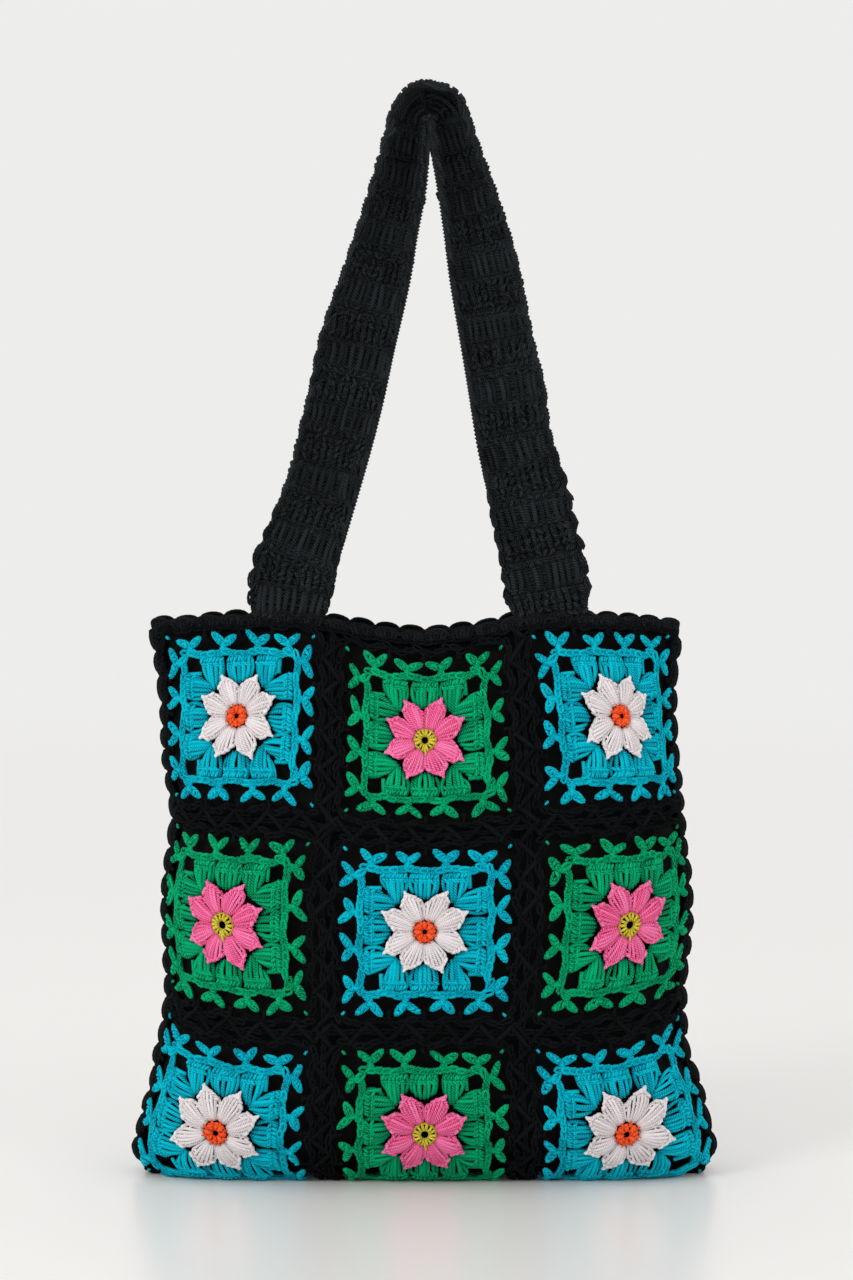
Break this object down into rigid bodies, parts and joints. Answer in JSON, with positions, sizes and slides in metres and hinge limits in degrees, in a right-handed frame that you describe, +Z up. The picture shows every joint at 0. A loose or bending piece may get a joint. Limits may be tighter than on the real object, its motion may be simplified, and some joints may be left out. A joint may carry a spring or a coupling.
{
  "type": "crochet tote bag",
  "caption": "Open-topped tote bag joined from crocheted granny squares with raised flowers, scalloped rim and two long crocheted handles drawn up to one peak",
  "frame": {"origin": "on the floor, under the middle of the bottom seam", "axes": "+Z up through the mouth and the handles' peak, -Y out of the front panel, +X to the right as the front is seen"},
  "size_m": [0.3506, 0.1516, 0.6539],
  "materials": {
    "blue_yarn": "matt acrylic yarn, turquoise blue",
    "green_yarn": "matt acrylic yarn, leaf green",
    "white_yarn": "matt acrylic yarn, off-white",
    "pink_yarn": "matt acrylic yarn, bright pink",
    "orange_yarn": "matt acrylic yarn, orange-red",
    "yellow_yarn": "matt acrylic yarn, olive yellow",
    "black_yarn": "matt acrylic yarn, charcoal black",
    "black_lining": "plain-woven cotton, matt black"
  },
  "bodies": {
    "root": {"square_front_r1c1": "blue_yarn", "flower_front_r1c1": "white_yarn", "centre_front_r1c1": "orange_yarn", "square_front_r1c2": "green_yarn", "flower_front_r1c2": "pink_yarn", "centre_front_r1c2": "yellow_yarn", "square_front_r1c3": "blue_yarn", "flower_front_r1c3": "white_yarn", "centre_front_r1c3": "orange_yarn", "square_front_r2c1": "green_yarn", "flower_front_r2c1": "pink_yarn", "centre_front_r2c1": "yellow_yarn", "square_front_r2c2": "blue_yarn", "flower_front_r2c2": "white_yarn", "centre_front_r2c2": "orange_yarn", "square_front_r2c3": "green_yarn", "flower_front_r2c3": "pink_yarn", "centre_front_r2c3": "yellow_yarn", "square_front_r3c1": "blue_yarn", "flower_front_r3c1": "white_yarn", "centre_front_r3c1": "orange_yarn", "square_front_r3c2": "green_yarn", "flower_front_r3c2": "pink_yarn", "centre_front_r3c2": "yellow_yarn", "square_front_r3c3": "blue_yarn", "flower_front_r3c3": "white_yarn", "centre_front_r3c3": "orange_yarn", "square_back_r1c1": "blue_yarn", "flower_back_r1c1": "white_yarn", "centre_back_r1c1": "orange_yarn", "square_back_r1c2": "green_yarn", "flower_back_r1c2": "pink_yarn", "centre_back_r1c2": "yellow_yarn", "square_back_r1c3": "blue_yarn", "flower_back_r1c3": "white_yarn", "centre_back_r1c3": "orange_yarn", "square_back_r2c1": "green_yarn", "flower_back_r2c1": "pink_yarn", "centre_back_r2c1": "yellow_yarn", "square_back_r2c2": "blue_yarn", "flower_back_r2c2": "white_yarn", "centre_back_r2c2": "orange_yarn", "square_back_r2c3": "green_yarn", "flower_back_r2c3": "pink_yarn", "centre_back_r2c3": "yellow_yarn", "square_back_r3c1": "blue_yarn", "flower_back_r3c1": "white_yarn", "centre_back_r3c1": "orange_yarn", "square_back_r3c2": "green_yarn", "flower_back_r3c2": "pink_yarn", "centre_back_r3c2": "yellow_yarn", "square_back_r3c3": "blue_yarn", "flower_back_r3c3": "white_yarn", "centre_back_r3c3": "orange_yarn", "net": "black_yarn", "rim_edging": "black_yarn", "handle_front": "black_yarn", "handle_back": "black_yarn", "lining": "black_lining"}
  },
  "joints": []
}
